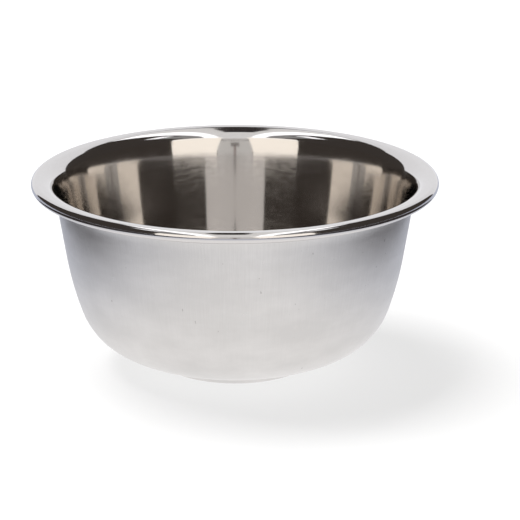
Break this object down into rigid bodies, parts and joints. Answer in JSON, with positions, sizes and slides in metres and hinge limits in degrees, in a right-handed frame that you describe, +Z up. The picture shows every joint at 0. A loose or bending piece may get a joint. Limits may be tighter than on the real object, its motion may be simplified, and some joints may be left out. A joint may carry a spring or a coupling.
{
  "type": "shaving bowl",
  "caption": "Small round stainless steel bowl for lathering shaving soap, with a rolled rim and a pressed foot.",
  "frame": {"origin": "centre of the foot's resting face", "axes": "+Z up along the bowl's axis, out of its mouth; X and Y are free, because the bowl is round"},
  "size_m": [0.12, 0.12, 0.0573],
  "materials": {
    "stainless_steel": "satin brushed outside, polished in circles inside, bright rolled rim"
  },
  "bodies": {
    "root": {"bowl_shell": "stainless_steel"}
  },
  "joints": []
}
